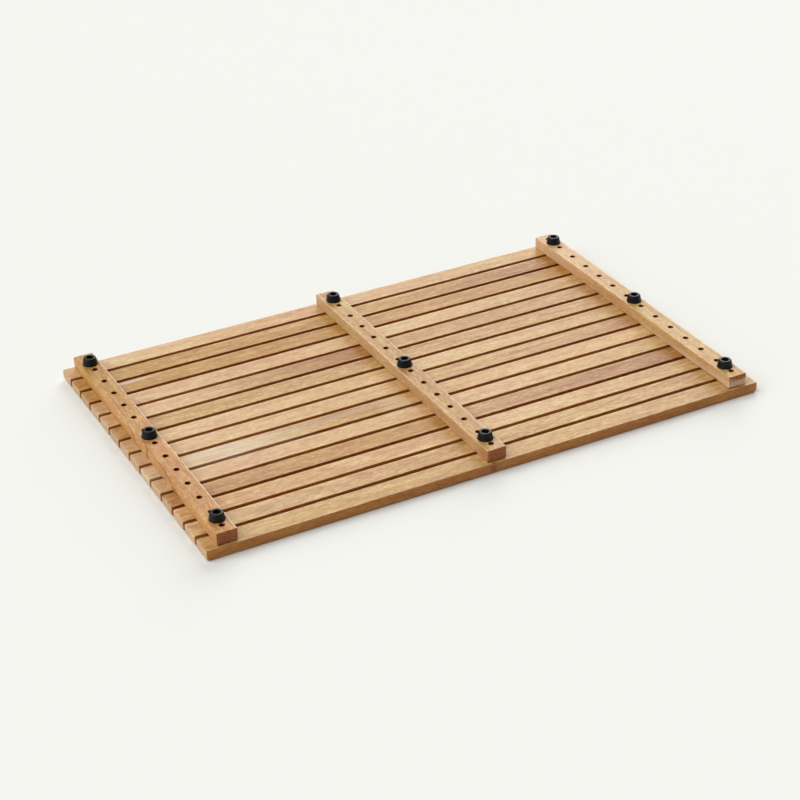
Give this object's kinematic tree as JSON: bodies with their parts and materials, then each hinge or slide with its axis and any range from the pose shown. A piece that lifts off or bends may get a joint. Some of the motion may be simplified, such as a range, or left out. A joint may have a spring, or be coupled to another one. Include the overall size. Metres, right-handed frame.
{
  "type": "slatted bath mat",
  "caption": "Rigid slatted wooden bath mat lying underside up: long slats screwed to cross battens, with deep screw holes and conical black rubber feet.",
  "frame": {"origin": "middle of the tread face, on the plane that the mat lies on", "axes": "+X along the slats, +Y across them, +Z out of the underside towards the tips of the feet. The mat lies tread face down, as pictured; for use it is turned over, half a turn about X."},
  "size_m": [0.8, 0.5062, 0.0425],
  "materials": {
    "slat_wood": "oiled teak, satin, grain along the slat, tone differs from slat to slat",
    "batten_wood": "oiled teak, satin, grain along the batten, dark end grain",
    "foot_rubber": "moulded black rubber, semi-gloss",
    "screw_steel": "plated steel",
    "foot_screw_steel": "plated steel, dark"
  },
  "bodies": {
    "root": {"slat_01": "slat_wood", "slat_02": "slat_wood", "slat_03": "slat_wood", "slat_04": "slat_wood", "slat_05": "slat_wood", "slat_06": "slat_wood", "slat_07": "slat_wood", "slat_08": "slat_wood", "slat_09": "slat_wood", "slat_10": "slat_wood", "slat_11": "slat_wood", "slat_12": "slat_wood", "slat_13": "slat_wood", "slat_14": "slat_wood", "batten_left": "batten_wood", "slat_screws_left": "screw_steel", "foot_left_back": "foot_rubber", "foot_screw_left_back": "foot_screw_steel", "foot_left_centre": "foot_rubber", "foot_screw_left_centre": "foot_screw_steel", "foot_left_front": "foot_rubber", "foot_screw_left_front": "foot_screw_steel", "batten_middle": "batten_wood", "slat_screws_middle": "screw_steel", "foot_middle_back": "foot_rubber", "foot_screw_middle_back": "foot_screw_steel", "foot_middle_centre": "foot_rubber", "foot_screw_middle_centre": "foot_screw_steel", "foot_middle_front": "foot_rubber", "foot_screw_middle_front": "foot_screw_steel", "batten_right": "batten_wood", "slat_screws_right": "screw_steel", "foot_right_back": "foot_rubber", "foot_screw_right_back": "foot_screw_steel", "foot_right_centre": "foot_rubber", "foot_screw_right_centre": "foot_screw_steel", "foot_right_front": "foot_rubber", "foot_screw_right_front": "foot_screw_steel"}
  },
  "joints": []
}
